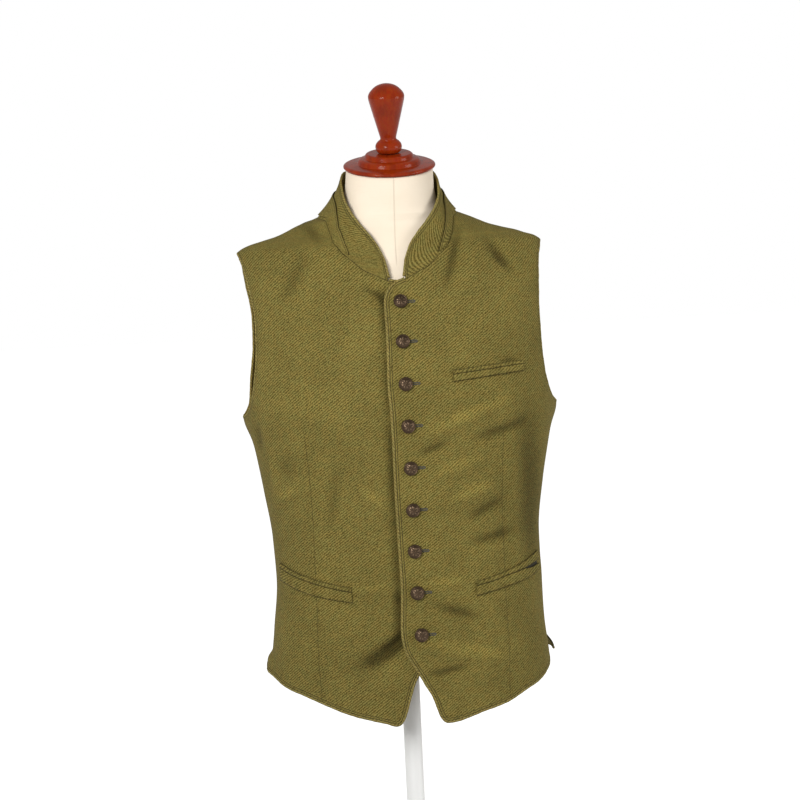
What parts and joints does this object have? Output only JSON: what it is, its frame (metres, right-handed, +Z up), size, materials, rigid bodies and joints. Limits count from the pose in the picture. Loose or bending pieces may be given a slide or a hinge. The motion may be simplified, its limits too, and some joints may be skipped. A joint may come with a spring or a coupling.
{
  "type": "waistcoat on a dress form",
  "caption": "Sleeveless buttoned waistcoat with a stand collar and welt pockets, worn by a limbless dress form with a turned neck cap and finial on a plain stand.",
  "frame": {"origin": "centre of the underside of the round base plate", "axes": "+Z up along the stand, -Y towards the front of the waistcoat, +X towards the wearer's left"},
  "size_m": [0.3784, 0.3, 0.9173],
  "materials": {
    "cloth": "olive-green cotton twill, washed and slightly faded",
    "cloth_binding": "narrow self binding of the same olive twill",
    "button_metal": "dark bronzed cast metal, low polish on the high spots",
    "form_cover": "smooth cream linen cover, tight on the form",
    "turned_wood": "red-brown mahogany, glossy polish",
    "stand_paint": "white paint"
  },
  "bodies": {
    "root": {"back": "cloth", "binding_armhole_left": "cloth_binding", "binding_armhole_right": "cloth_binding", "binding_back": "cloth_binding", "binding_collar": "cloth_binding", "binding_front_left": "cloth_binding", "binding_front_right": "cloth_binding", "button_1": "button_metal", "button_2": "button_metal", "button_3": "button_metal", "button_4": "button_metal", "button_5": "button_metal", "button_6": "button_metal", "button_7": "button_metal", "button_8": "button_metal", "button_9": "button_metal", "collar_band": "cloth", "collar_stand": "cloth", "finial": "turned_wood", "form_stand": "stand_paint", "form_torso": "form_cover", "front_left": "cloth", "front_right": "cloth", "neck_cap": "turned_wood", "pocket_chest_jet": "cloth", "pocket_chest_welt": "cloth", "pocket_left_jet": "cloth", "pocket_left_welt": "cloth", "pocket_right_jet": "cloth", "pocket_right_welt": "cloth"}
  },
  "joints": []
}
